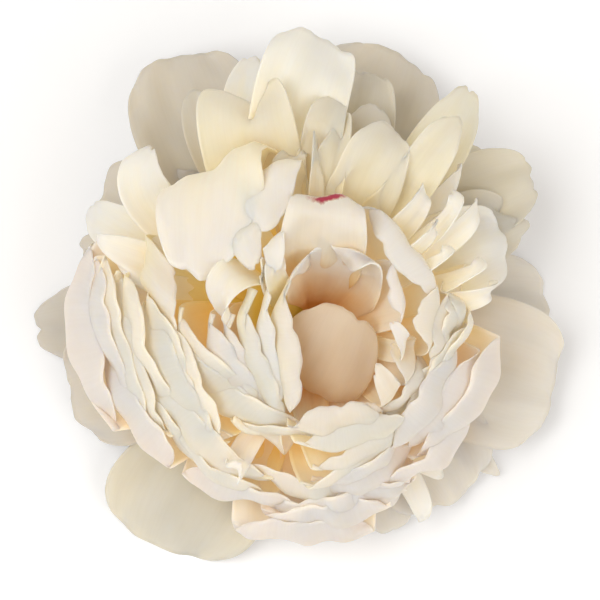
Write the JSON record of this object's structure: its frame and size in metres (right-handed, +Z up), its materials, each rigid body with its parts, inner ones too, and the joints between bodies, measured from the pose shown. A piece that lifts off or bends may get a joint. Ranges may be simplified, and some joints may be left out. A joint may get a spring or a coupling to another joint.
{
  "type": "cut peony bloom",
  "caption": "Creamy white double peony bloom, cut just below the flower, lying face up on its guard petals and stem stub.",
  "frame": {"origin": "middle of the bounding box, at the surface the bloom lies on", "axes": "+Z up out of the bloom's face, -Y towards the side that the bloom leans to, +X to the right of someone looking down from that side"},
  "size_m": [0.1416, 0.1382, 0.0669],
  "materials": {
    "guard_petal": "matt, thin and slightly translucent, cool ivory",
    "petal": "matt, thin and slightly translucent, warm ivory with a golden foot",
    "heart_petal": "matt, thin and slightly translucent, blush cream with a golden foot",
    "sepal": "satin, smooth green leaf",
    "stem": "satin, smooth green stalk, pale where it is cut"
  },
  "bodies": {
    "root": {"bottom_edge": "petal", "bottom_left_outer": "petal", "bottom_long": "petal", "bottom_outer": "petal", "bottom_second": "petal", "crescent": "petal", "crown_left": "petal", "crown_middle": "petal", "crown_upper_left": "petal", "guard_bottom_edge": "guard_petal", "guard_bottom_left": "guard_petal", "guard_bottom_middle": "guard_petal", "guard_bottom_right": "guard_petal", "guard_left_far": "guard_petal", "guard_left_low": "guard_petal", "guard_left_notched": "guard_petal", "guard_left_upper": "guard_petal", "guard_right": "guard_petal", "guard_right_back": "guard_petal", "guard_right_upper": "guard_petal", "guard_top_left": "guard_petal", "guard_top_right": "guard_petal", "heart_back": "heart_petal", "heart_hood": "heart_petal", "heart_inner": "heart_petal", "heart_leaf": "heart_petal", "heart_left": "heart_petal", "heart_left_outer": "heart_petal", "heart_left_second": "heart_petal", "heart_right_leaf": "heart_petal", "left_cupped": "petal", "left_fourth": "petal", "left_outer": "petal", "left_second": "petal", "left_third": "petal", "left_white": "petal", "lower_lip": "petal", "receptacle_and_stem": "stem", "right_arc": "petal", "right_broad": "petal", "right_fourth": "petal", "right_inner": "petal", "right_low_face": "petal", "right_notched": "petal", "right_outer": "petal", "right_point": "petal", "right_pointed": "petal", "right_second": "petal", "right_third": "petal", "sepal_1": "sepal", "sepal_2": "sepal", "sepal_3": "sepal", "sepal_4": "sepal", "sepal_5": "sepal", "top_narrow": "petal", "top_tall": "petal", "upper_fold": "petal", "upper_right_cream": "petal", "upper_right_shade": "petal", "upper_right_wave": "petal"}
  },
  "joints": []
}
